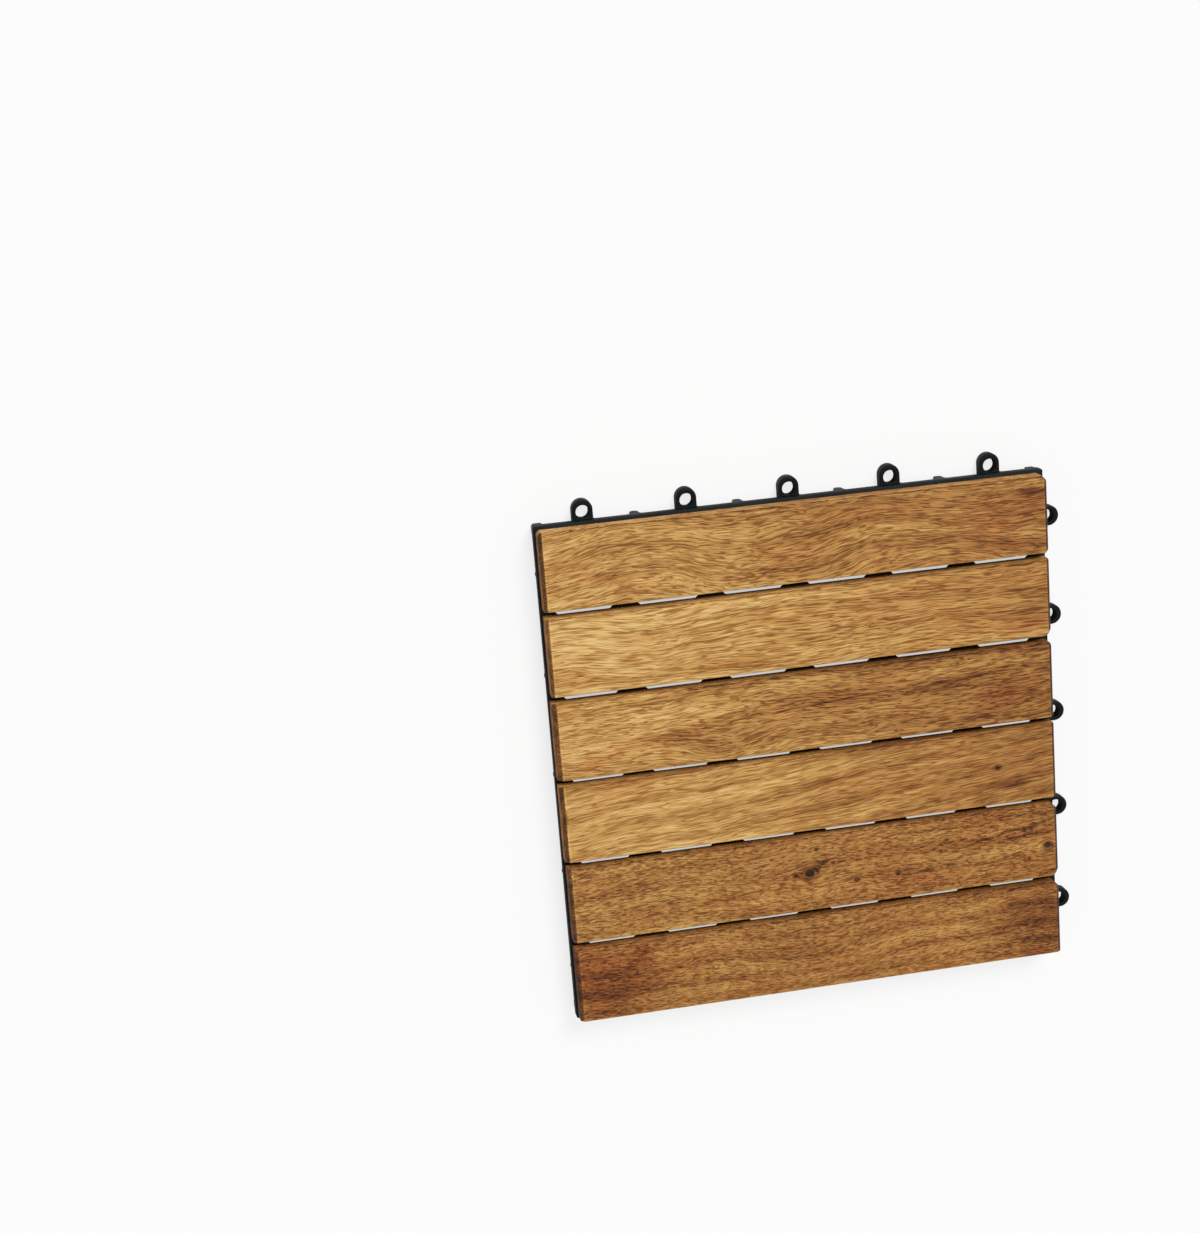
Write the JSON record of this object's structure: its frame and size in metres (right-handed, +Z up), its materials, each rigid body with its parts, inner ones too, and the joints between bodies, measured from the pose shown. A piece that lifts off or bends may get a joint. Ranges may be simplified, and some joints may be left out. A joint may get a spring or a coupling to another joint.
{
  "type": "interlocking deck tile",
  "caption": "Square hardwood deck tile: bevelled slats on a moulded plastic grid with loops on two sides and pins on the other two.",
  "frame": {"origin": "centre of the floor square that one tile fills, on the floor, at the sole of the middle foot", "axes": "+Z up, out of the slats; +X along the slats, towards the side with loops; +Y across the slats, towards the other side with loops"},
  "size_m": [0.3108, 0.3108, 0.024],
  "materials": {
    "hardwood": "oiled acacia, sanded, with open pores",
    "grid_plastic": "black moulded polypropylene, satin",
    "screw_steel": "zinc-plated"
  },
  "bodies": {
    "root": {"base_grid": "grid_plastic", "slat_1": "hardwood", "slat_2": "hardwood", "slat_3": "hardwood", "slat_4": "hardwood", "slat_5": "hardwood", "slat_6": "hardwood", "screws_slat_1": "screw_steel", "screws_slat_2": "screw_steel", "screws_slat_3": "screw_steel", "screws_slat_4": "screw_steel", "screws_slat_5": "screw_steel", "screws_slat_6": "screw_steel"}
  },
  "joints": []
}
